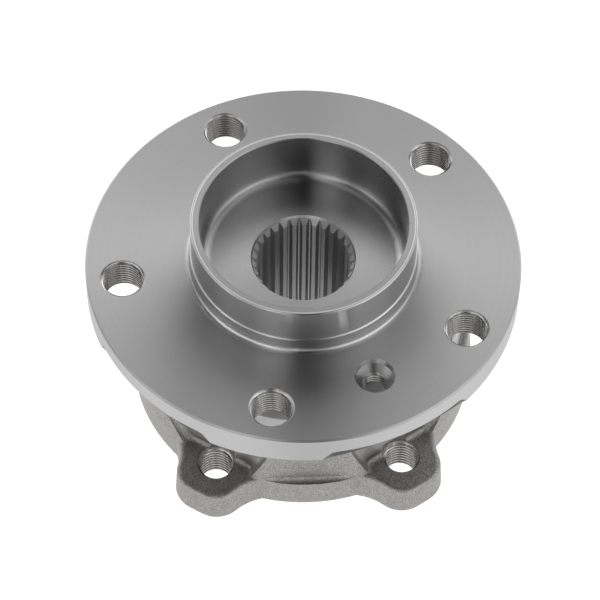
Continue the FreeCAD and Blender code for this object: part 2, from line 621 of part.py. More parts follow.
def outer_ring():
    """Forged outer ring with both outer raceways, four threaded lugs and the knuckle spigot."""
    lug_blank = lug()
    lug_hole = threaded_hole(LUG_HOLE_RADIUS, LUG_HOLE_CHAMFER, LUG_TOP_Z, KNUCKLE_FACE_Z)
    flat = side_flat()
    flats = []
    lugs = []
    scoops = []
    holes = []
    for pair_angle in (LUG_MIDDLE_ANGLE, LUG_MIDDLE_ANGLE - 180.0):
        flats.append(at_polar(flat, 0.0, pair_angle))
        for side in (-1, 1):
            lug_angle = pair_angle + side * LUG_HALF_SPREAD
            lugs.append(at_polar(lug_blank, 0.0, lug_angle))
            scoops.append(at_polar(scoop(side), 0.0, lug_angle))
            holes.append(at_polar(lug_hole, LUG_CIRCLE_RADIUS, lug_angle))
    body = ring_blank().cut(flats).fuse(lugs).cut(scoops)
    bore = [ring_bore(), groove(OUTBOARD_ROW_Z, 1, -1), groove(INBOARD_ROW_Z, 1, 1)]
    return body.cut(holes + bore)


# Balls and cages

def ball_centre(row_z, index):
    """Centre of one ball. The inboard row is turned half a ball spacing from the outboard row."""
    shift = 0.0 if row_z == OUTBOARD_ROW_Z else 0.5
    return polar(BALL_CIRCLE_RADIUS, (index + shift) * 360.0 / BALL_COUNT, row_z)


def cage(row_z, back):
    """Snap-in cage. back is -1 where its solid ring lies below the balls and 1 where above."""
    inside = BALL_CIRCLE_RADIUS - CAGE_THICKNESS / 2.0
    outside = BALL_CIRCLE_RADIUS + CAGE_THICKNESS / 2.0
    ends = sorted((row_z + back * (BALL_RADIUS + CAGE_RING), row_z - back * CAGE_FRONT))
    ring = turned([(inside, ends[0]), (outside, ends[0]), (outside, ends[1]), (inside, ends[1])])
    pockets = []
    for index in range(BALL_COUNT):
        centre = ball_centre(row_z, index)
        pockets.append(Part.makeSphere(BALL_RADIUS + CAGE_POCKET_CLEARANCE, centre))
    return ring.cut(pockets)


# Seals

def outboard_seal_case():
    """Pressed steel case of the outboard seal: a sleeve in the bore and a leg towards the hub."""
    top = RING_TOP_Z - SEAL_INSET
    bottom = RING_TOP_Z - OUTBOARD_SEAL_DEPTH
    inside = OUTBOARD_SEAL_RADIUS - SEAL_SHEET
    leg = inside - OUTBOARD_CASE_LEG
    corners = [
        (OUTBOARD_SEAL_RADIUS, bottom),
        (OUTBOARD_SEAL_RADIUS, top, SEAL_SHEET / 2.0),
        (leg, top),
        (leg, top - SEAL_SHEET),
        (inside, top - SEAL_SHEET),
        (inside, bottom),
    ]
    return turned(corners)


def outboard_seal_lip():
    """Rubber of the outboard seal: one lip on the hub's track and one on its face."""
    top = RING_TOP_Z - SEAL_INSET
    root = OUTBOARD_SEAL_RADIUS - SEAL_SHEET - OUTBOARD_CASE_LEG
    track = SEAL_TRACK_RADIUS + SEAL_LIP_CLEARANCE
    face = SEAL_FACE_Z - SEAL_LIP_CLEARANCE
    throat = (root + track) / 2.0
    corners = [
        (root, top - 2.0 * SEAL_SHEET),
        (throat, top - 4.0 * SEAL_SHEET),
        (track, top - 4.0 * SEAL_SHEET),
        (track, top - 3.5 * SEAL_SHEET),
        (throat, top - 1.5 * SEAL_SHEET),
        (throat, top + SEAL_SHEET),
        (root + SEAL_SHEET, face),
        (root + 1.5 * SEAL_SHEET, face),
        (root, top + SEAL_SHEET),
    ]
    return turned(corners)


def inboard_seal_levels():
    """Heights shared by the inboard seal's pieces: top of the case leg and top of the slinger's leg."""
    slinger_leg = INNER_RING_END_Z + SEAL_SHEET
    case_top = INNER_RING_END_Z + INBOARD_CASE_HEIGHT + SEAL_INSET
    return case_top, slinger_leg


def inboard_seal_case():
    """Pressed steel case of the inboard seal, seated in the spigot's bore."""
    top, slinger_leg = inboard_seal_levels()
    inside = INBOARD_SEAL_RADIUS - SEAL_SHEET
    leg = inside - INBOARD_CASE_LEG
    corners = [
        (INBOARD_SEAL_RADIUS, slinger_leg - SEAL_SHEET),
        (INBOARD_SEAL_RADIUS, top, SEAL_SHEET / 2.0),
        (leg, top),
        (leg, top - SEAL_SHEET),
        (inside, top - SEAL_SHEET),
        (inside, slinger_leg - SEAL_SHEET),
    ]
    return turned(corners)


def inboard_seal_lip():
    """Rubber of the inboard seal: one lip on the slinger's sleeve and one on its leg."""
    top, slinger_leg = inboard_seal_levels()
    root = INBOARD_SEAL_RADIUS - SEAL_SHEET - INBOARD_CASE_LEG
    track = INNER_SHOULDER_RADIUS + SEAL_SHEET + SEAL_LIP_CLEARANCE
    face = slinger_leg + SEAL_LIP_CLEARANCE
    throat = (root + track) / 2.0
    corners = [
        (root, top),
        (root, top - 2.5 * SEAL_SHEET),
        (root + 1.5 * SEAL_SHEET, face),
        (root + SEAL_SHEET, face),
        (throat, top - 3.0 * SEAL_SHEET),
        (track, top - 3.5 * SEAL_SHEET),
        (track, top - 3.0 * SEAL_SHEET),
        (throat, top),
    ]
    return turned(corners)


def slinger():
    """Angled steel ring pressed on the inner ring, which throws water off and carries the encoder."""
    top, leg_top = inboard_seal_levels()
    sleeve = INNER_SHOULDER_RADIUS + SEAL_SHEET
    outside = INBOARD_SEAL_RADIUS - SEAL_SHEET - SLINGER_CLEARANCE
    corners = [
        (INNER_SHOULDER_RADIUS, top - SEAL_SHEET),
        (sleeve, top - SEAL_SHEET),
        (sleeve, leg_top),
        (outside, leg_top),
        (outside, leg_top - SEAL_SHEET),
        (INNER_SHOULDER_RADIUS, leg_top - SEAL_SHEET),
    ]
    return turned(corners)


def encoder_ring():
    """Magnetic ring for the wheel speed sensor, bonded under the slinger's leg."""
    outside = INBOARD_SEAL_RADIUS - SEAL_SHEET - SLINGER_CLEARANCE
    inside = outside - ENCODER_WIDTH
    bottom = INNER_RING_END_Z - ENCODER_THICKNESS
    corners = [(inside, bottom), (outside, bottom), (outside, INNER_RING_END_Z), (inside, INNER_RING_END_Z)]
    return turned(corners)


def save(name, shape):
    """Write one piece as one solid."""
    if len(shape.Solids) != 1 or not shape.isValid():
        raise ValueError(name + " is not one valid solid")
    shape.Solids[0].exportStep(os.path.join("parts", name + ".step"))


def build():
    """Make and write every piece of the unit."""
    pieces = {
        "wheel_hub": wheel_hub(),
        "inner_ring": inner_ring(),
        "outer_ring": outer_ring(),
        "cage_outboard": cage(OUTBOARD_ROW_Z, -1),
        "cage_inboard": cage(INBOARD_ROW_Z, 1),
        "outboard_seal_case": outboard_seal_case(),
        "outboard_seal_lip": outboard_seal_lip(),
        "inboard_seal_case": inboard_seal_case(),
        "inboard_seal_lip": inboard_seal_lip(),
        "slinger": slinger(),
        "encoder_ring": encoder_ring(),
    }
    for row_name, row_z in (("outboard", OUTBOARD_ROW_Z), ("inboard", INBOARD_ROW_Z)):
        for index in range(BALL_COUNT):
            name = "ball_%s_%02d" % (row_name, index + 1)
            pieces[name] = Part.makeSphere(BALL_RADIUS, ball_centre(row_z, index))
    for name, shape in pieces.items():
        save(name, shape)
    print(len(pieces), "pieces written")


build()
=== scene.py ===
# %% [markdown]
# # A wheel hub bearing, dressed
# The imported part gives every solid in its true place: hub, forged ring, balls, cages and seals.
# This script gives them their finishes, adds the screw threads and the forged edge that the solids
# leave out, and sets up the studio. It starts by loading the frame and keeping the part's box.

# %% Load the frame
import math
import bpy
import numpy as np
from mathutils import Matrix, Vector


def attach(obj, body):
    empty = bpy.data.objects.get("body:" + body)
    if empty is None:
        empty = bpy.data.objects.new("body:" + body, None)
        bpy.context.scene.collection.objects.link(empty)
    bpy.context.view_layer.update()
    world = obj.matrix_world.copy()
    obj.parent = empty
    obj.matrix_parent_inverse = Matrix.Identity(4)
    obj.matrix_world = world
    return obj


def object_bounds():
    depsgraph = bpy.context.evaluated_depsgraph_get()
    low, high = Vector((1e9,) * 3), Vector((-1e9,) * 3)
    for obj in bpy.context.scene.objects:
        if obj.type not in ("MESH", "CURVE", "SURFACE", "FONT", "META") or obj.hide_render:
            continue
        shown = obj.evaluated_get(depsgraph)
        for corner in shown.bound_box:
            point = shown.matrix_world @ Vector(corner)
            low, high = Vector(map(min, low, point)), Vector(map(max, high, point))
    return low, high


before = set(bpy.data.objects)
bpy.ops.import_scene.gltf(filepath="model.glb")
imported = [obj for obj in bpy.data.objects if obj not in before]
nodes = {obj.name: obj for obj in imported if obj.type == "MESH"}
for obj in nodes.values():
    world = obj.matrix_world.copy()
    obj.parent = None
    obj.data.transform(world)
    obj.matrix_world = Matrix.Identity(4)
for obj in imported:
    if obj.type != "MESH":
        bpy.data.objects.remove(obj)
cad_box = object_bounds()
print("nodes:", len(nodes), "box:", [round(v * 1000, 2) for corner in cad_box for v in corner])

# %% [markdown]
# ## Short words for shader nodes
# A material here is mostly arithmetic on the place of a surface point: how far from the spin axis
# it lies, how high, and at what angle. These helpers write that arithmetic as plain function calls,
# so that each finish further down reads like a formula. The word share stands for a number from 0
# to 1 that says how much of something a point gets.

# %% Arithmetic on shares
MM = 0.001


def plug(tree, value, socket):
    """Feeds a socket with a number, a colour or another node's output."""
    if isinstance(value, bpy.types.NodeSocket):
        tree.links.new(value, socket)
    else:
        socket.default_value = value


def calc(tree, operation, *values):
    """One Math node: the operation applied to one, two or three values."""
    node = tree.nodes.new("ShaderNodeMath")
    node.operation = operation
    for value, socket in zip(values, node.inputs):
        plug(tree, value, socket)
    return node.outputs[0]


def chain(tree, operation, first, *others):
    """The same two-value operation carried along a row: product, largest and so on."""
    result = first
    for value in others:
        result = calc(tree, operation, result, value)
    return result


def product(tree, *shares):
    """Shares multiplied, which asks for all of them at once."""
    return chain(tree, "MULTIPLY", *shares)


def largest(tree, *shares):
    """The largest share, which asks for any one of them."""
    return chain(tree, "MAXIMUM", *shares)


def ramp(tree, value, low, high, at_low=0.0, at_high=1.0):
    """Eases from at_low to at_high while the value goes from low to high, flat outside.

    The ease is three times the square of the share of the way, less twice its cube.
    """
    node = tree.nodes.new("ShaderNodeMapRange")
    node.interpolation_type = "SMOOTHSTEP"
    ends = (("From Min", low), ("From Max", high), ("To Min", at_low), ("To Max", at_high))
    for name, number in ends:
        plug(tree, number, node.inputs[name])
    plug(tree, value, node.inputs["Value"])
    return node.outputs["Result"]


def window(tree, value, rise, fall):
    """Share that is 1 inside a stretch: it eases up over the rise and down over the fall."""
    return product(tree, ramp(tree, value, rise[0], rise[1]), ramp(tree, value, fall[1], fall[0]))


print("arithmetic ready")

# %% [markdown]
# Colours are mixed by a share, and noise supplies what no formula gives: the uneven, the grainy,
# the mottled. A bump node turns a height into a tilt of the surface.

# %% Colours, noise and bump
# Noise seldom comes near 0 or 1. A finish goes through its whole change over one of these spans.
NARROW, USUAL, WIDE = (0.35, 0.65), (0.3, 0.7), (0.2, 0.8)


def mix(tree, kind, share, first, second):
    """One colour Mix node of a given kind."""
    node = tree.nodes.new("ShaderNodeMix")
    node.data_type = "RGBA"
    node.blend_type = kind
    for number, value in ((0, share), (6, first), (7, second)):
        plug(tree, value, node.inputs[number])
    return node.outputs[2]


def blend(tree, share, first, second):
    """Goes from the first colour at share 0 to the second at share 1."""
    return mix(tree, "MIX", share, first, second)


def speckle(tree, vector, scale, detail=3.0, roughness=0.55):
    """Noise from 0 to 1 at a place, with as many features per metre as the scale says."""
    node = tree.nodes.new("ShaderNodeTexNoise")
    plug(tree, vector, node.inputs["Vector"])
    node.inputs["Scale"].default_value = scale
    node.inputs["Detail"].default_value = detail
    node.inputs["Roughness"].default_value = roughness
    return node.outputs[0]


def dent(tree, height, distance, before=None):
    """Bump from a height between 0 and 1, where 1 stands the given distance above 0."""
    node = tree.nodes.new("ShaderNodeBump")
    plug(tree, height, node.inputs["Height"])
    node.inputs["Distance"].default_value = distance
    node.inputs["Strength"].default_value = 1.0
    if before is not None:
        tree.links.new(before, node.inputs["Normal"])
    return node.outputs[0]


print("colours, noise and bump ready")

# %% [markdown]
# Every finish starts from an empty material and the place of the point. The solids lie in the
# part's own frame with the spin axis as Z, so a point's own coordinates are also its place on the
# part, and they turn with the piece.

# %% Places and finishes
def where(tree):
    """The point on the piece: its vector, x, y and z."""
    coordinates = tree.nodes.new("ShaderNodeTexCoord")
    split = tree.nodes.new("ShaderNodeSeparateXYZ")
    tree.links.new(coordinates.outputs["Object"], split.inputs[0])
    return (coordinates.outputs["Object"], *split.outputs)


def from_axis(tree, x, y):
    """Distance from the spin axis: the square root of x squared plus y squared."""
    return calc(tree, "SQRT", calc(tree, "ADD", product(tree, x, x), product(tree, y, y)))


def new_finish(name, metallic, anisotropic=0.0):
    """An empty finish: material, node tree and surface shader.

    The anisotropy is turned by a quarter, which stretches reflections across the lathe's rings.
    """
    material = bpy.data.materials.new(name)
    material.use_nodes = True
    surface = material.node_tree.nodes["Principled BSDF"]
    surface.inputs["Metallic"].default_value = metallic
    surface.inputs["Anisotropic"].default_value = anisotropic
    surface.inputs["Anisotropic Rotation"].default_value = 0.25
    return material, material.node_tree, surface


def cover(tree, surface, colour, roughness, normal):
    """Plugs the three things that every finish has."""
    plug(tree, colour, surface.inputs["Base Color"])
    plug(tree, roughness, surface.inputs["Roughness"])
    plug(tree, normal, surface.inputs["Normal"])


def dress(pieces, material):
    """Gives pieces, named or as objects, one finish."""
    for piece in pieces:
        data = nodes[piece].data if isinstance(piece, str) else piece.data
        data.materials.clear()
        data.materials.append(material)


print("places and finishes ready")

# %% [markdown]
# ## Turned steel
# The hub is turned on a lathe, so a cutting tool has drawn fine rings round the spin axis on every
# face and wall. Seen from a distance the rings aren't lines any more: they stretch each reflection
# at right angles to themselves, which is what an anisotropic shader does. What is still wide enough
# to see comes from noise over radius and height alone, so it runs round the axis without a break.

# %% Marks of the lathe
BAND_SCALE = 420.0
LINE_SCALE = 3600.0


def turned_marks(tree, radius, z):
    """Rings left by the lathe: broad bands and fine lines, both from 0 to 1."""
    node = tree.nodes.new("ShaderNodeCombineXYZ")
    tree.links.new(radius, node.inputs[0])
    tree.links.new(z, node.inputs[1])
    section = node.outputs[0]
    return speckle(tree, section, BAND_SCALE), speckle(tree, section, LINE_SCALE, 2.0)


print("bands every", round(1000.0 / BAND_SCALE, 2), "mm, lines every",
      round(1000.0 / LINE_SCALE, 2), "mm")

# %% [markdown]
# Where the lathe never went, on the reliefs of the rim and in the pockets behind the flange, the
# forging's scale is left, dull and dark.

# %% Scale on the hub
FIRST_BOLT, BOLT_STEP = 41.64, 72.0
PAD_ANGLE, PAD_STEP = math.radians(FIRST_BOLT), math.radians(BOLT_STEP)
RELIEF_DISTANCE = 66.3 * MM
RELIEF_TOP = -6.9 * MM
RIM_RADIUS = 72.0 * MM
POCKET_HEIGHTS = ((-11.4 * MM, -11.3 * MM), (-8.2 * MM, -8.0 * MM))
POCKET_RADII = ((46.0 * MM, 46.2 * MM), (61.8 * MM, 62.0 * MM))


def relief_share(tree, x, y, radius, z):
    """Share of scale on the rim's reliefs between two bolt pads.

    A point's reach towards the middle of its gap is its radius times the cosine of its angle from
    that middle. Scale lies where the reach passes 66.3 mm, below the relief's top, and not on the
    turned side of the rim.
    """
    turn = calc(tree, "SUBTRACT", calc(tree, "ARCTAN2", y, x), PAD_ANGLE)
    in_gap = calc(tree, "FLOORED_MODULO", turn, PAD_STEP)
    from_middle = calc(tree, "SUBTRACT", in_gap, PAD_STEP / 2.0)
    reach = product(tree, radius, calc(tree, "COSINE", from_middle))
    return product(tree, ramp(tree, reach, RELIEF_DISTANCE, RELIEF_DISTANCE + 0.2 * MM),
                   ramp(tree, z, RELIEF_TOP + 0.1 * MM, RELIEF_TOP),
                   ramp(tree, radius, RIM_RADIUS - 0.05 * MM, RIM_RADIUS - 0.15 * MM))


def pocket_share(tree, radius, z):
    """Share of scale in the pockets: a stretch of heights times a stretch of radii."""
    return product(tree, window(tree, z, *POCKET_HEIGHTS), window(tree, radius, *POCKET_RADII))


print("pads every", BOLT_STEP, "degrees from", FIRST_BOLT)

# %% [markdown]
# Two things stand out inside the cup: the tool's feed shows on the floor as faint rings, and the
# lead-in cone of the spline gets a painted highlight.

# %% Cup floor and painted highlight on the lead-in cone
FLOOR_FEED = 0.8 * MM
FLOOR_EDGE = (31.0 * MM, 33.0 * MM)
FLOOR_HEIGHT = 0.3 * MM
LEAD_IN_SLOPE = math.tan(math.radians(30.0))
LEAD_IN_RADIUS = (17.4 - 0.4 * LEAD_IN_SLOPE) * MM
LEAD_IN_HEIGHTS = ((-2.7 * MM, -2.6 * MM), (0.38 * MM, 0.42 * MM))


def floor_share(tree, radius, z):
    """Share of the feed's rings: half of 1 plus the sine of the radius, one ring in each feed."""
    wave = calc(tree, "SINE", calc(tree, "MULTIPLY", radius, 2.0 * math.pi / FLOOR_FEED))
    floor = product(tree, ramp(tree, radius, FLOOR_EDGE[1], FLOOR_EDGE[0]),
                    ramp(tree, z, 0.0, FLOOR_HEIGHT))
    return product(tree, floor, calc(tree, "MULTIPLY_ADD", wave, 0.5, 0.5))


def lead_in_highlight_share(tree, radius, z):
    """Share of the painted highlight on the lead-in cone, whose radius is the slope times the
    height, plus its radius at height 0. At 0.4 mm up it is 17.4 mm wide."""
    cone = calc(tree, "MULTIPLY_ADD", z, LEAD_IN_SLOPE, LEAD_IN_RADIUS)
    outside = calc(tree, "SUBTRACT", radius, cone)
    return product(tree, ramp(tree, outside, 0.07 * MM, 0.03 * MM),
                   window(tree, z, *LEAD_IN_HEIGHTS))


print("feed", FLOOR_FEED / MM, "mm a turn, cone", round(LEAD_IN_RADIUS / MM, 2), "mm at height 0")

# %% [markdown]
# Light and shade are painted on the turned faces, which are all one steel. The cup's wall gets
# painted shade and the pilot's wall painted light against the flange, the pilot's top gets painted
# shade nearly as dark as the cup's wall, and the broken edge round the top gets a painted highlight
# that draws a bright line.

# %% Painted light and shade on the turned faces
FACE_LIGHT, FACE_DARK = (0.56, 0.56, 0.563, 1), (0.55, 0.55, 0.553, 1)
# The lead-in cone's grey is a painted highlight.
FLOOR_RING, LEAD_IN_HIGHLIGHT = (0.52, 0.52, 0.523, 1), (0.86, 0.86, 0.86, 1)
# Painted shade on the cup's wall and the pilot's top, painted light on the pilot's wall, and a
# painted highlight on the broken edge.
CUP_WALL_SHADE, PILOT_WALL_LIGHT = (0.44, 0.44, 0.443, 1), (0.64, 0.64, 0.643, 1)
PILOT_TOP_SHADE, BROKEN_EDGE_HIGHLIGHT = (0.47, 0.47, 0.473, 1), (0.80, 0.80, 0.80, 1)
PILOT_TOP = 20.0 * MM
BROKEN_EDGE = ((36.0 * MM, 36.2 * MM), (36.4 * MM, 36.6 * MM))
WALL_MIDDLE = (34.6 * MM, 36.6 * MM)
WALL_START = (30.0 * MM, 33.0 * MM)
WALL_RISE = (1.0 * MM, 3.5 * MM)


def turned_grey_with_painted_light(tree, radius, z, bands):
    """The steel's grey: the faces first, then the cup's rings and painted highlight, the painted
    light and shade of the walls and the pilot's top, and the broken edge's painted highlight over
    them.
    """
    grey = blend(tree, ramp(tree, bands, *NARROW), FACE_DARK, FACE_LIGHT)
    grey = blend(tree, floor_share(tree, radius, z), grey, FLOOR_RING)
    grey = blend(tree, lead_in_highlight_share(tree, radius, z), grey, LEAD_IN_HIGHLIGHT)
    walls = blend(tree, ramp(tree, radius, *WALL_MIDDLE), CUP_WALL_SHADE, PILOT_WALL_LIGHT)
    on_wall = product(tree, ramp(tree, z, *WALL_RISE), ramp(tree, radius, *WALL_START))
    grey = blend(tree, on_wall, grey, walls)
    grey = blend(tree, ramp(tree, z, PILOT_TOP - 0.2 * MM, PILOT_TOP), grey, PILOT_TOP_SHADE)
    broken = product(tree, window(tree, radius, *BROKEN_EDGE),
                     ramp(tree, z, PILOT_TOP - 0.1 * MM, PILOT_TOP - 0.05 * MM))
    return blend(tree, broken, grey, BROKEN_EDGE_HIGHLIGHT)


print("walls change from cup to pilot over", [round(edge / MM, 1) for edge in WALL_MIDDLE], "mm")

# %% [markdown]
# The finish puts these together. The flange's face has the coarser cut, with reflections spread
# wide, and pilot and cup are cut finer. Scale replaces the steel's grey, adds roughness and brings
# its own grain instead of the tool's lines.

# %% Hub finish
FACE_ROUGHNESS, FINE_ROUGHNESS = 0.36, 0.23
BAND_ROUGHNESS, SCALE_ROUGHNESS = 0.015, 0.3
FACE_START = 39.2 * MM
SCALE_DARK, SCALE_LIGHT = (0.14, 0.139, 0.136, 1), (0.25, 0.247, 0.240, 1)
GRAIN_SCALE = 1600.0
LINE_DEPTH = 0.0002 * MM
SCALE_DEPTH = 0.12 * MM


def turned_steel(name):
    """Turned steel, finer on pilot and cup, with scale on reliefs and pockets."""
    material, tree, surface = new_finish(name, 1.0, 1.0)
    point, x, y, z = where(tree)
    radius = from_axis(tree, x, y)
    bands, lines = turned_marks(tree, radius, z)
    scale = largest(tree, relief_share(tree, x, y, radius, z), pocket_share(tree, radius, z))
    grain = speckle(tree, point, GRAIN_SCALE, 4.0, 0.65)
    colour = blend(tree, scale, turned_grey_with_painted_light(tree, radius, z, bands),
                   blend(tree, grain, SCALE_DARK, SCALE_LIGHT))
    fine = product(tree, ramp(tree, radius, FACE_START, FACE_START - 1.2 * MM),
                   ramp(tree, z, -0.8 * MM, -0.2 * MM))
    uneven = calc(tree, "MULTIPLY", calc(tree, "SUBTRACT", bands, 0.5), BAND_ROUGHNESS)
    roughness = chain(tree, "ADD", ramp(tree, fine, 0.0, 1.0, FACE_ROUGHNESS, FINE_ROUGHNESS),
                      uneven, calc(tree, "MULTIPLY", scale, SCALE_ROUGHNESS))
    cut = dent(tree, product(tree, lines, calc(tree, "SUBTRACT", 1.0, scale)), LINE_DEPTH)
    cover(tree, surface, colour, roughness,
          dent(tree, product(tree, grain, scale), SCALE_DEPTH, cut))
    return material


hub_finish = turned_steel("turned_steel")
dress(["wheel_hub"], hub_finish)
print("turned steel on wheel_hub")

# %% [markdown]
# ## Shot-blasted forging
# The outer ring is forged, then blasted with steel shot, which leaves a warm grey skin of tiny
# overlapping craters: rough enough to look matt, and mottled where the shot hit harder. The collar
# under the wheel flange, the knuckle face, the spigot and the bores are machined afterwards, so
# height and radius decide which finish a point gets. The ring's top face, seen only through the
# wheel bolt holes, gets painted light: it is bright, matt and not metallic where it lies in the
# flange's shade.

# %% Machined areas of the ring
COLLAR_BOTTOM = -33.45 * MM
COLLAR_RADIUS = 53.9 * MM
RING_TOP = -16.0 * MM
KNUCKLE_FACE = -60.95 * MM
SPIGOT_RADIUS = 46.6 * MM
MACHINED_DARK, MACHINED_LIGHT = (0.36, 0.36, 0.362, 1), (0.42, 0.42, 0.422, 1)
# Painted light on the ring's top face, which lies in the flange's shade.
RING_TOP_LIGHT = (0.90, 0.90, 0.90, 1)


def machined_shares(tree, radius, z):
    """Share of the ring's top face, which gets painted light, and share of all machined areas with
    it.
    """
    bores = ramp(tree, radius, SPIGOT_RADIUS, SPIGOT_RADIUS - 0.2 * MM)
    collar_radii = ((COLLAR_RADIUS - 0.1 * MM, COLLAR_RADIUS),
                    (COLLAR_RADIUS + 0.2 * MM, COLLAR_RADIUS + 0.3 * MM))
    collar = product(tree, ramp(tree, z, COLLAR_BOTTOM, COLLAR_BOTTOM + 0.1 * MM),
                     window(tree, radius, *collar_radii))
    # Share of the ring's top face, which gets painted light.
    top = ramp(tree, z, RING_TOP - 0.45 * MM, RING_TOP - 0.4 * MM)
    foot = ramp(tree, z, KNUCKLE_FACE, KNUCKLE_FACE - 0.04 * MM)
    return top, largest(tree, bores, collar, top, foot)


def machined_grey_and_top_light(tree, bands, top):
    """Grey of the machined areas, with the top face apart in painted light."""
    return blend(tree, top, blend(tree, bands, MACHINED_DARK, MACHINED_LIGHT), RING_TOP_LIGHT)


print("collar down to", round(COLLAR_BOTTOM / MM, 2), "mm, knuckle face at",
      round(KNUCKLE_FACE / MM, 2), "mm")

# %% [markdown]
# On the forging itself the craters give the grain and a broader noise the mottling. Two places
# get painted light and shade: the walls of the scoops behind the lugs get painted light above and
# painted shade towards their foot, and the hollow above the ledge between two lugs gets a dark
# painted shade.

# %% Colour of the forging
SKIN_DARK, SKIN_LIGHT = (0.215, 0.210, 0.201, 1), (0.50, 0.489, 0.469, 1)
PATCH_DARK, PATCH_LIGHT = (0.87, 0.87, 0.87, 1), (0.98, 0.98, 0.98, 1)
# Painted shade at the foot of the scoops' walls and painted light at their top.
SCOOP_FOOT_SHADE, SCOOP_TOP_LIGHT = (0.29, 0.283, 0.27, 1), (0.60, 0.587, 0.564, 1)
SCOOP_GRAIN, SCOOP_GRAIN_SHARE = (0.36, 0.352, 0.338, 1), 0.25
# Painted shade in the hollow above the ledge between two lugs.
HOLLOW_SHADE, HOLLOW_SHADE_COVER = (0.08, 0.078, 0.075, 1), (0.95, 0.60)
SCOOP_HEIGHTS = ((-47.9 * MM, -47.4 * MM), (COLLAR_BOTTOM - 0.3 * MM, COLLAR_BOTTOM - 0.1 * MM))
SCOOP_SHADE = (-46.6 * MM, -41.5 * MM)
SCOOP_RADII = (54.6 * MM, 55.6 * MM)
SCOOP_ASIDE = (12.0 * MM, 16.0 * MM)
HOLLOW_HEIGHTS = ((-48.7 * MM, -48.3 * MM), (-46.8 * MM, -44.4 * MM))
HOLLOW_RADII = (53.6 * MM, 54.6 * MM)
HOLLOW_ASIDE = (17.0 * MM, 25.0 * MM)


def scoop_light_and_shade(tree, aside, radius, z, craters):
    """Share and painted light and shade of the scoops' walls, set back from the body at each side
    of X = 0.
    """
    share = product(tree, ramp(tree, radius, SCOOP_RADII[1], SCOOP_RADII[0]),
                    window(tree, z, *SCOOP_HEIGHTS), ramp(tree, aside, *SCOOP_ASIDE))
    tone = blend(tree, ramp(tree, z, *SCOOP_SHADE), SCOOP_FOOT_SHADE, SCOOP_TOP_LIGHT)
    grain = ramp(tree, craters, *USUAL, 0.0, SCOOP_GRAIN_SHARE)
    return share, blend(tree, grain, tone, SCOOP_GRAIN)


def hollow_shade_share(tree, aside, radius, z, craters):
    """Share of painted shade in the hollow above the ledge, thinner where the craters stand out."""
    return product(tree, window(tree, z, *HOLLOW_HEIGHTS),
                   ramp(tree, aside, HOLLOW_ASIDE[1], HOLLOW_ASIDE[0]),
                   ramp(tree, radius, HOLLOW_RADII[1], HOLLOW_RADII[0]),
                   ramp(tree, craters, *NARROW, *HOLLOW_SHADE_COVER))


def forged_tone(tree, x, radius, z, craters, mottle):
    """Skin times mottling, then the painted light and shade of scoops and hollows over it."""
    skin = blend(tree, ramp(tree, craters, *USUAL), SKIN_DARK, SKIN_LIGHT)
    patch = blend(tree, ramp(tree, mottle, *USUAL), PATCH_DARK, PATCH_LIGHT)
    tone = mix(tree, "MULTIPLY", 1.0, skin, patch)
    aside = calc(tree, "ABSOLUTE", x)
    share, wall = scoop_light_and_shade(tree, aside, radius, z, craters)
    tone = blend(tree, share, tone, wall)
    return blend(tree, hollow_shade_share(tree, aside, radius, z, craters), tone, HOLLOW_SHADE)


print("scoops between", round(SCOOP_HEIGHTS[0][0] / MM, 2), "and",
      round(SCOOP_HEIGHTS[1][1] / MM, 2), "mm")

# %% [markdown]
# Three bumps at different sizes, one on top of the other, make the relief of the forging: broad
# unevenness, mottling and craters. They fade out where the ring is machined.

# %% Ring finish
FORGED_ROUGHNESS, MOTTLE_ROUGHNESS, MACHINED_ROUGHNESS = 0.38, 0.12, 0.34
WAVE_SCALE, MOTTLE_SCALE, CRATER_SCALE = 90.0, 420.0, 2300.0
WAVE_DEPTH, MOTTLE_DEPTH, CRATER_DEPTH = 0.35 * MM, 0.10 * MM, 0.17 * MM
MACHINED_DEPTH = 0.001 * MM


def blasted_forging(name):
    """Rough warm-grey forging with machined areas told apart by height and radius."""
    material, tree, surface = new_finish(name, 1.0)
    point, x, y, z = where(tree)
    radius = from_axis(tree, x, y)
    craters = speckle(tree, point, CRATER_SCALE, 3.0, 0.7)
    mottle = speckle(tree, point, MOTTLE_SCALE, 3.0, 0.6)
    waves = speckle(tree, point, WAVE_SCALE, 2.0, 0.5)
    bands, lines = turned_marks(tree, radius, z)
    top, machined = machined_shares(tree, radius, z)
    colour = blend(tree, machined, forged_tone(tree, x, radius, z, craters, mottle),
                   machined_grey_and_top_light(tree, bands, top))
    forged_rough = calc(tree, "MULTIPLY_ADD", mottle, MOTTLE_ROUGHNESS, FORGED_ROUGHNESS)
    roughness = ramp(tree, machined, 0.0, 1.0, forged_rough, MACHINED_ROUGHNESS)
    # The ring's top face, with its painted light, is not metallic.
    plug(tree, ramp(tree, top, 0.0, 1.0, 1.0, 0.0), surface.inputs["Metallic"])
    forged = calc(tree, "SUBTRACT", 1.0, machined)
    normal = None
    for height, depth in ((waves, WAVE_DEPTH), (mottle, MOTTLE_DEPTH), (craters, CRATER_DEPTH)):
        normal = dent(tree, product(tree, height, forged), depth, normal)
    cover(tree, surface, colour, roughness, dent(tree, lines, MACHINED_DEPTH, normal))
    return material


dress(["outer_ring"], blasted_forging("blasted_forging"))
print("blasted forging on outer_ring")

# %% [markdown]
# ## The parts inside and the seals
# Balls and inner ring are hardened and ground, far brighter than the hub, and seal cases and
# slinger are pressed from bright sheet. The photograph doesn't show them, so they get the plain
# finishes that such parts have in any bearing.

# %% Inner finishes in steel
BALL_CLOUD, BALL_MARKS = 300.0, 3000.0
BALL_DARK, BALL_LIGHT = (0.62, 0.62, 0.62, 1), (0.74, 0.74, 0.75, 1)
BALL_ROUGHNESS = (0.10, 0.17)


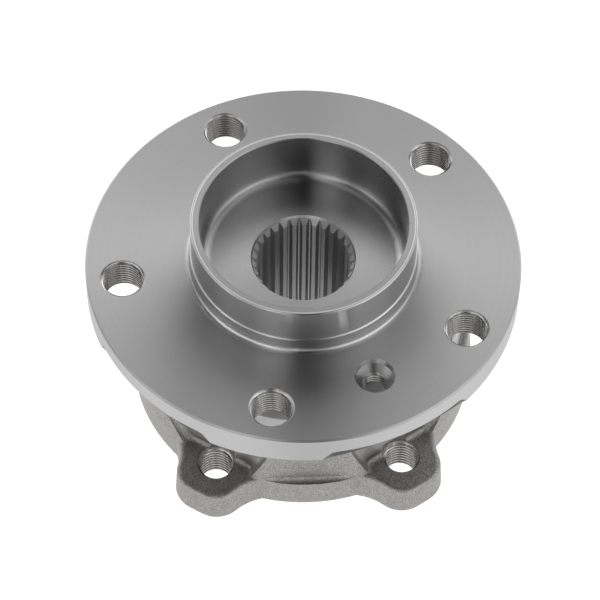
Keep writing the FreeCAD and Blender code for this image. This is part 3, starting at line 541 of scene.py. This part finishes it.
def plain_steel(name, light, dark, rough, scale, depth):
    """Ground or pressed steel with a soft unevenness."""
    material, tree, surface = new_finish(name, 1.0, 0.3)
    point, x, y, z = where(tree)
    cloud = speckle(tree, point, scale, 4.0)
    bands, lines = turned_marks(tree, from_axis(tree, x, y), z)
    cover(tree, surface, blend(tree, cloud, dark, light),
          calc(tree, "MULTIPLY_ADD", bands, 0.08, rough), dent(tree, lines, depth))
    return material


def ball_steel(name):
    """Polished steel with the faintest cloudiness, so that balls don't look like mirrors."""
    material, tree, surface = new_finish(name, 1.0)
    point = where(tree)[0]
    cloud = speckle(tree, point, BALL_CLOUD, 5.0)
    cover(tree, surface, blend(tree, cloud, BALL_DARK, BALL_LIGHT),
          ramp(tree, cloud, *WIDE, *BALL_ROUGHNESS),
          dent(tree, speckle(tree, point, BALL_MARKS), 0.0008 * MM))
    return material


dress(["inner_ring"],
      plain_steel("ground_race", (0.66, 0.66, 0.65, 1), (0.58, 0.58, 0.57, 1),
                  rough=0.22, scale=200.0, depth=0.0008 * MM))
dress(["outboard_seal_case", "inboard_seal_case", "slinger"],
      plain_steel("pressed_sheet", (0.60, 0.60, 0.59, 1), (0.50, 0.50, 0.50, 1),
                  rough=0.30, scale=400.0, depth=0.0010 * MM))
balls = [name for name in nodes if name.startswith("ball_")]
dress(balls, ball_steel("polished_ball"))
print("balls:", len(balls))

# %% [markdown]
# The cages are moulded in black glass-filled polyamide and the lips are rubber, so neither is
# metallic. The encoder is rubber filled with magnetic powder. Its poles can't be seen on the real
# ring, and here they only show as the faintest change of tone.

# %% Inner finishes in plastic and rubber
ENCODER_POLES, POLE_WEIGHT, GRAIN_WEIGHT = 48, 0.25, 0.75
ENCODER_GRAIN = 2500.0
ENCODER_DARK, ENCODER_LIGHT = (0.030, 0.028, 0.026, 1), (0.060, 0.056, 0.052, 1)
ENCODER_ROUGHNESS = (0.50, 0.62)


def moulded(name, light, dark, rough, scale, depth):
    """Moulded plastic or rubber: two close tones, a matt skin and a fine pebble."""
    material, tree, surface = new_finish(name, 0.0)
    point = where(tree)[0]
    pebble = speckle(tree, point, scale, 4.0, 0.6)
    cloud = speckle(tree, point, scale * 0.12)
    cover(tree, surface, blend(tree, cloud, dark, light),
          calc(tree, "MULTIPLY_ADD", pebble, 0.12, rough), dent(tree, pebble, depth))
    return material


def encoder_rubber(name):
    """Magnetic rubber. The tone takes a quarter from the poles, where the sine of the angle times
    their number changes sign, and three quarters from the grain."""
    material, tree, surface = new_finish(name, 0.0)
    point, x, y = where(tree)[:3]
    turns = calc(tree, "MULTIPLY", calc(tree, "ARCTAN2", y, x), float(ENCODER_POLES))
    pole = ramp(tree, calc(tree, "SINE", turns), -0.25, 0.25)
    grain = speckle(tree, point, ENCODER_GRAIN)
    tone = calc(tree, "ADD", calc(tree, "MULTIPLY", pole, POLE_WEIGHT),
                calc(tree, "MULTIPLY", grain, GRAIN_WEIGHT))
    cover(tree, surface, blend(tree, tone, ENCODER_DARK, ENCODER_LIGHT),
          ramp(tree, grain, *WIDE, *ENCODER_ROUGHNESS), dent(tree, grain, 0.008 * MM))
    return material


dress(["cage_outboard", "cage_inboard"],
      moulded("cage_polyamide", (0.045, 0.045, 0.042, 1), (0.020, 0.020, 0.019, 1),
              rough=0.42, scale=900.0, depth=0.02 * MM))
dress(["outboard_seal_lip", "inboard_seal_lip"],
      moulded("seal_rubber", (0.030, 0.030, 0.030, 1), (0.014, 0.014, 0.014, 1),
              rough=0.55, scale=1400.0, depth=0.015 * MM))
dress(["encoder_ring"], encoder_rubber("encoder_rubber"))
print("finishes:", len(bpy.data.materials))

# %% [markdown]
# ## Screw threads
# The solids have plain holes at the thread's outer diameter, as a drawing would show them. A real
# thread is one groove wound along the hole. Here it is a surface over two numbers, the angle round
# the hole and the height, and its radius follows the thread's outline: flat root, straight flank,
# narrower flat crest, straight flank. Taking the outline at height minus angle times pitch winds it
# into a helix. At each mouth the countersink cuts the crests away, so the surface takes whichever
# is wider, thread or cone.

# %% Outline of a thread
SKIN = 0.03 * MM
ROOT_GAP = 0.02 * MM
ROOT_HALF = 1.0 / 16.0
CREST_HALF = 1.0 / 8.0
THREAD_DEPTH = 0.625 * 0.8660254


def thread_radius(angle, z, major, pitch, top, mouth):
    """Radius of the thread at an angle and a height.

    Let p be the height less the angle's share of a pitch, counted in pitches, fraction only. From
    the middle of a root the outline stays at the major radius for a sixteenth of a pitch, falls
    along the flank by 5/8 of the sharp thread's height, which is 0.866 pitch, stays at the crest
    for a quarter of a pitch and rises again. A cone of 45 degrees cuts it at the top.
    """
    depth = THREAD_DEPTH * pitch
    p = np.mod(z / pitch - angle / (2.0 * np.pi), 1.0)
    from_root = np.minimum(p, 1.0 - p)
    rise = np.clip((from_root - ROOT_HALF) / (0.5 - ROOT_HALF - CREST_HALF), 0.0, 1.0)
    radius = major - ROOT_GAP - (depth - ROOT_GAP) * rise
    cone = major + mouth - (top - z)
    return np.maximum(radius, np.minimum(cone, major - ROOT_GAP))


print("thread depth:", round(THREAD_DEPTH, 3), "of the pitch")

# %% [markdown]
# New pieces are worked out as whole arrays, one of points and one of corner numbers with four
# corners to a face. These two helpers turn such arrays into an object.

# %% Mesh helpers
def new_object(name, points, faces):
    """Mesh object in the scene, from rows of points and of corners."""
    mesh = bpy.data.meshes.new(name)
    mesh.from_pydata(points.tolist(), [], faces.tolist())
    mesh.update()
    piece = bpy.data.objects.new(name, mesh)
    bpy.context.scene.collection.objects.link(piece)
    return piece


def quads(a, b, c, d):
    """Four arrays of corner numbers as rows of four."""
    return np.stack([a, b, c, d], axis=-1).reshape(-1, 4)


print("mesh helpers ready")

# %% [markdown]
# A sleeve is the threaded wall as a grid of rows and columns, and a plain outer skin, hidden in the
# metal, that closes it. Every vertex also keeps how high it stands on the thread, which the finish
# reads: roots get a painted shade, while crests and the cut cone at the mouth keep the steel's
# bright grey throughout.

# %% Thread sleeves
MOUTH_REACH = 0.9


def sleeve_faces(rows, around):
    """Threaded wall, outer skin, foot and head of a sleeve, facing out of its metal."""
    column = np.arange(around)
    beside = (column + 1) % around
    start = np.arange(rows - 1)[:, None] * around
    low, high, last = rows * around, (rows + 1) * around, (rows - 1) * around
    return np.concatenate([
        quads(start + column, start + around + column, start + around + beside, start + beside),
        quads(low + column, low + beside, high + beside, high + column),
        quads(column, beside, low + beside, low + column),
        quads(last + column, high + column, high + beside, last + beside),
    ])


def sleeve(name, centre, major, pitch, top, bottom, mouth, body, around=144, along=16):
    """One threaded sleeve as a closed mesh, standing in its hole."""
    first, last = bottom + ROOT_GAP, top - mouth
    rows = int(round((last - first) / pitch * along)) + 1
    angle = np.linspace(0.0, 2.0 * np.pi, around, endpoint=False)[None, :]
    z = np.linspace(first, last, rows)[:, None]
    radius = thread_radius(angle, z, major, pitch, top, mouth)
    inner = np.stack([radius * np.cos(angle), radius * np.sin(angle), z + 0.0 * angle], axis=-1)
    wide = major + SKIN
    rim = np.stack([wide * np.cos(angle[0]), wide * np.sin(angle[0])], axis=-1)
    ends = [np.column_stack([rim, np.full(around, height)]) for height in (first, last)]
    points = np.concatenate([inner.reshape(-1, 3), *ends]) + np.array([*centre, 0.0])
    piece = new_object(name, points, sleeve_faces(rows, around))
    crest = np.zeros(len(points))
    height = np.clip((major - radius) / (0.5 * pitch), 0.0, 1.0)
    in_mouth = z > top - mouth - MOUTH_REACH * pitch
    crest[:rows * around] = np.where(in_mouth, 1.0, height).ravel()
    piece.data.attributes.new("crest", "FLOAT", "POINT").data.foreach_set("value", crest)
    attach(piece, body)
    return piece


print("sleeves ready to make")

# %% [markdown]
# Five holes for wheel bolts and the hole for the disc's locating screw turn with the hub. The four
# knuckle bolt holes stand still with the housing.

# %% Threads in their holes
BOLT_CIRCLE, SCREW_CIRCLE, KNUCKLE_CIRCLE = 60.0 * MM, 52.0 * MM, 57.3 * MM
SCREW_ANGLE = 293.64
KNUCKLE_ANGLES = (237.25, 302.75, 57.25, 122.75)
DRAG_SCALE = 2500.0
CREST_SPAN = (0.25, 0.85)
THREAD_ROUGHNESS = (0.23, 0.31)
# Painted shade in the thread's roots.
THREAD_ROOT_SHADE = (0.30, 0.293, 0.283, 1)
THREAD_DARK, THREAD_LIGHT = (0.54, 0.53, 0.515, 1), (0.68, 0.67, 0.655, 1)


def spot(circle, degrees):
    """Point on a circle round the spin axis."""
    turn = math.radians(degrees)
    return circle * math.cos(turn), circle * math.sin(turn)


def cut_thread_finish(name):
    """Cut thread: steel with fine drag marks, and painted shade towards the root."""
    material, tree, surface = new_finish(name, 1.0)
    marks = speckle(tree, where(tree)[0], DRAG_SCALE)
    crest = tree.nodes.new("ShaderNodeAttribute")
    crest.attribute_name = "crest"
    steel = blend(tree, marks, THREAD_DARK, THREAD_LIGHT)
    colour = blend(tree, ramp(tree, crest.outputs["Fac"], *CREST_SPAN), THREAD_ROOT_SHADE, steel)
    cover(tree, surface, colour, ramp(tree, marks, *WIDE, *THREAD_ROUGHNESS),
          dent(tree, marks, 0.004 * MM))
    return material


threads = []
for index in range(5):
    threads.append(sleeve("thread_wheel_bolt_%d" % (index + 1),
                          spot(BOLT_CIRCLE, FIRST_BOLT + BOLT_STEP * index),
                          major=7.0 * MM, pitch=1.25 * MM, top=0.0, bottom=-11.5 * MM,
                          mouth=0.45 * MM, body="hub"))
for index, degrees in enumerate(KNUCKLE_ANGLES):
    threads.append(sleeve("thread_knuckle_bolt_%d" % (index + 1), spot(KNUCKLE_CIRCLE, degrees),
                          major=6.0 * MM, pitch=1.5 * MM, top=-48.5 * MM, bottom=-61.0 * MM,
                          mouth=0.3 * MM, body="housing"))
threads.append(sleeve("thread_locating_screw", spot(SCREW_CIRCLE, SCREW_ANGLE),
                      major=4.0 * MM, pitch=1.25 * MM, top=-4.1 * MM, bottom=-8.1 * MM,
                      mouth=0.0, body="hub", around=80))
dress(threads, cut_thread_finish("cut_thread"))
print("thread faces:", sum(len(piece.data.polygons) for piece in threads))

# %% [markdown]
# ## Forged edge of the flange
# Between two bolt pads the flange's rim is relieved. The solids have a flat wall there. On the real
# forging the wall follows the rim a little way inside it, and this piece brings it out to that
# line: its radius is smallest in the middle of the gap and grows towards the pads. It wears the
# hub's own finish, which puts scale on it.

# %% Forged edge
EDGE_REACH = math.radians(20.6)
EDGE_MIDDLE = 69.1 * MM
EDGE_GROWTH, EDGE_POWER = 2.2 * MM, 1.2
EDGE_INSIDE = 65.5 * MM
EDGE_THINNEST = 0.3 * MM
EDGE_LEAN = 0.25 * MM
EDGE_BOTTOM, EDGE_TOP = -11.48 * MM, -6.95 * MM


def edge_radius(theta):
    """Radius of the wall: 69.1 mm plus 2.2 mm times the share of the half gap to the power 1.2."""
    return EDGE_MIDDLE + EDGE_GROWTH * (np.abs(theta) / EDGE_REACH) ** EDGE_POWER


def forged_edge(name, steps=48):
    """Five closed wedges, one in each gap: a four-cornered section carried along the gap."""
    theta = np.linspace(-EDGE_REACH, EDGE_REACH, steps)
    outside = edge_radius(theta)
    inside = np.minimum(EDGE_INSIDE / np.cos(theta), outside - EDGE_THINNEST)
    corners = ((inside, EDGE_BOTTOM), (outside - EDGE_LEAN, EDGE_BOTTOM),
               (outside + EDGE_LEAN, EDGE_TOP), (inside, EDGE_TOP))
    corner = np.arange(4)
    beside = (corner + 1) % 4
    points, faces = [], []
    for gap in range(5):
        turn = PAD_ANGLE + PAD_STEP * (gap + 0.5) + theta
        section = [np.column_stack([r * np.cos(turn), r * np.sin(turn), np.full(steps, z)])
                   for r, z in corners]
        points.append(np.stack(section, axis=1).reshape(-1, 3))
        start = gap * steps * 4
        at = start + np.arange(steps - 1)[:, None] * 4
        last = start + (steps - 1) * 4
        faces.append(quads(at + corner, at + 4 + corner, at + 4 + beside, at + beside))
        faces.append(np.stack([start + corner, last + corner[::-1]]))
    piece = new_object(name, np.concatenate(points), np.concatenate(faces))
    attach(piece, "hub")
    return piece


edge = forged_edge("forged_edge")
dress([edge], hub_finish)
print("forged edge faces:", len(edge.data.polygons))

# %% [markdown]
# ## The studio
# Steel shows little of itself and much of the room. The world is that room: broad soft lamps,
# written as a brightness that depends on the direction only. Three belts go round it. Near the
# horizon it is bright all round. Some 20 degrees up it is bright behind the part and at the front
# right, dimmer at the front left, and dark on the camera's side, which darkens the near side of the
# hub. At 40 degrees little but the back is lit. Overhead a weak lamp stands at each side of a dark
# gap. The camera itself sees plain white.

# %% World
# One brightness for each bearing. Bearing 0 is the right, 90 the back, 180 the left, 270 the
# camera's side. A height is the sine of the elevation.
BEARINGS = (0.0, 20.0, 40.0, 60.0, 80.0, 100.0, 120.0, 140.0, 160.0, 180.0,
            200.0, 220.0, 240.0, 255.0, 263.0, 270.0, 277.0, 285.0, 300.0, 320.0, 340.0)
ROOM_HEIGHTS = (0.0, 0.35, 0.65, 0.92)
ROOM_BELTS = ((1.30, 0.90, 1.50, 2.10, 2.25, 2.10, 1.80, 1.30, 1.10, 1.90,
               2.75, 2.75, 2.35, 1.80, 1.25, 1.05, 1.15, 1.50, 1.90, 2.25, 2.10),
              (0.95, 0.50, 1.30, 2.25, 2.45, 2.20, 1.85, 0.90, 0.15, 0.40,
               1.20, 0.70, 1.30, 0.60, 0.05, 0.00, 0.00, 0.30, 1.40, 1.85, 1.55),
              (0.00, 0.25, 0.60, 1.45, 1.25, 1.30, 1.60, 0.35, 0.00, 0.00,
               0.05, 0.00, 0.60, 0.35, 0.05, 0.00, 0.00, 0.05, 0.10, 0.15, 0.15))
# Brightness overhead, from left to right.
CEILING_PLACES = (-0.5, -0.2, -0.07, 0.0, 0.07, 0.2, 0.5)
CEILING = (0.10, 0.40, 0.00, 0.03, 0.12, 0.15, 0.60)


def stops(tree, value, places, levels):
    """Greys between given places from 0 to 1, joined by straight lines."""
    node = tree.nodes.new("ShaderNodeValToRGB")
    elements = node.color_ramp.elements
    elements[0].position, elements[1].position = places[0], places[-1]
    for place in places[1:-1]:
        elements.new(place)
    for element, level in zip(elements, levels):
        element.color = (level, level, level, 1.0)
    plug(tree, value, node.inputs[0])
    return node.outputs[0]


def studio_world():
    """Brightness of a direction: one belt eases into the next as the direction rises."""
    world = bpy.data.worlds.new("studio")
    bpy.context.scene.world = world
    world.use_nodes = True
    tree = world.node_tree
    coordinates = tree.nodes.new("ShaderNodeTexCoord")
    split = tree.nodes.new("ShaderNodeSeparateXYZ")
    tree.links.new(coordinates.outputs["Generated"], split.inputs[0])
    x, y, z = split.outputs
    turns = calc(tree, "DIVIDE", calc(tree, "ARCTAN2", y, x), 2.0 * math.pi)
    turns = calc(tree, "FLOORED_MODULO", turns, 1.0)
    places = [bearing / 360.0 for bearing in BEARINGS] + [1.0]
    layers = [stops(tree, turns, places, belt + belt[:1]) for belt in ROOM_BELTS]
    across = [0.5 + 0.5 * place for place in CEILING_PLACES]
    layers.append(stops(tree, calc(tree, "MULTIPLY_ADD", x, 0.5, 0.5), across, CEILING))
    room = layers[0]
    for low, high, layer in zip(ROOM_HEIGHTS, ROOM_HEIGHTS[1:], layers[1:]):
        room = blend(tree, ramp(tree, z, low, high), room, layer)
    rays = tree.nodes.new("ShaderNodeLightPath")
    colour = blend(tree, rays.outputs["Is Camera Ray"], room, (1.0, 1.0, 1.0, 1.0))
    plug(tree, colour, tree.nodes["Background"].inputs["Color"])
    return world


studio_world()
print("world ready:", len(ROOM_BELTS), "belts of", len(BEARINGS), "bearings")

# %% [markdown]
# The part lies on a white table, which steel shows in its lower reflections. The table is paper
# that takes a shadow, and glow that hides it. Camera and reflections see mostly glow, and the soft
# light that the part gets back from the table comes less from it.

# %% Table
TABLE_REACH = 6.0
PAPER = (0.9, 0.9, 0.9, 1.0)
TABLE_GLOW = 1.28
SEEN_GLOW, BOUNCED_GLOW = 0.85, 0.6


def table_finish(name):
    """Diffuse paper mixed with glow by the kind of ray that looks at it."""
    material = bpy.data.materials.new(name)
    material.use_nodes = True
    tree = material.node_tree
    tree.nodes.clear()
    output = tree.nodes.new("ShaderNodeOutputMaterial")
    paper = tree.nodes.new("ShaderNodeBsdfDiffuse")
    paper.inputs["Color"].default_value = PAPER
    glow = tree.nodes.new("ShaderNodeEmission")
    glow.inputs["Strength"].default_value = TABLE_GLOW
    rays = tree.nodes.new("ShaderNodeLightPath").outputs
    seen = largest(tree, rays["Is Camera Ray"], rays["Is Glossy Ray"], rays["Is Transmission Ray"])
    bounced = calc(tree, "MULTIPLY", rays["Is Diffuse Ray"], BOUNCED_GLOW)
    both = tree.nodes.new("ShaderNodeMixShader")
    plug(tree, largest(tree, calc(tree, "MULTIPLY", seen, SEEN_GLOW), bounced), both.inputs[0])
    tree.links.new(paper.outputs[0], both.inputs[1])
    tree.links.new(glow.outputs[0], both.inputs[2])
    tree.links.new(both.outputs[0], output.inputs["Surface"])
    return material


def white_table(height):
    """A wide sheet under the part."""
    corners = np.array([(-1.0, -1.0), (1.0, -1.0), (1.0, 1.0), (-1.0, 1.0)]) * TABLE_REACH
    table = new_object("table", np.column_stack([corners, np.full(4, height)]),
                       np.array([[0, 1, 2, 3]]))
    table.data.materials.append(table_finish("white_table"))
    return table


white_table(cad_box[0][2])
print("table at", round(cad_box[0][2] / MM, 2), "mm")

# %% [markdown]
# ## The camera
# The photograph's viewpoint was worked out from the circles in it: about 55 degrees above the
# flange, one metre away, through a long lens, and turned by half a degree or so. The knuckle bolt
# holes set the part's X and Y, so the camera stands a little to one side of them.

# %% Camera
FOCAL_PIXELS = 2972.945
PICTURE_PIXELS = 600.0
SENSOR = 36.0
NEAREST, FARTHEST = 0.01, 50.0
ELEVATION = 0.95305
DISTANCE = 1000.771 * MM
ROLL = 0.0131899
TURN = math.radians(-3.2)
TARGET = (-0.92404 * MM, 0.0, -23.95 * MM)


def photo_camera():
    """Camera whose axes are given outright: right, up and back, turned together about Z."""
    data = bpy.data.cameras.new("camera")
    data.sensor_width = SENSOR
    data.lens = SENSOR * FOCAL_PIXELS / PICTURE_PIXELS
    data.clip_start, data.clip_end = NEAREST, FARTHEST
    up = np.array([0.0, math.sin(ELEVATION), math.cos(ELEVATION)])
    right = np.array([1.0, 0.0, 0.0])
    back = np.array([0.0, -math.cos(ELEVATION), math.sin(ELEVATION)])
    axes = [math.cos(ROLL) * right + math.sin(ROLL) * up,
            math.cos(ROLL) * up - math.sin(ROLL) * right,
            back, np.array(TARGET) + back * DISTANCE]
    turn = np.array([[math.cos(TURN), -math.sin(TURN), 0.0],
                     [math.sin(TURN), math.cos(TURN), 0.0],
                     [0.0, 0.0, 1.0]])
    matrix = np.eye(4)
    matrix[:3, :] = turn @ np.column_stack(axes)
    camera = bpy.data.objects.new("camera", data)
    camera.matrix_world = Matrix(matrix.tolist())
    bpy.context.scene.collection.objects.link(camera)
    bpy.context.scene.camera = camera
    return camera


photo_camera()
bpy.context.scene.view_settings.view_transform = "Standard"
print("camera ready,", round(math.degrees(ELEVATION), 1), "degrees up")
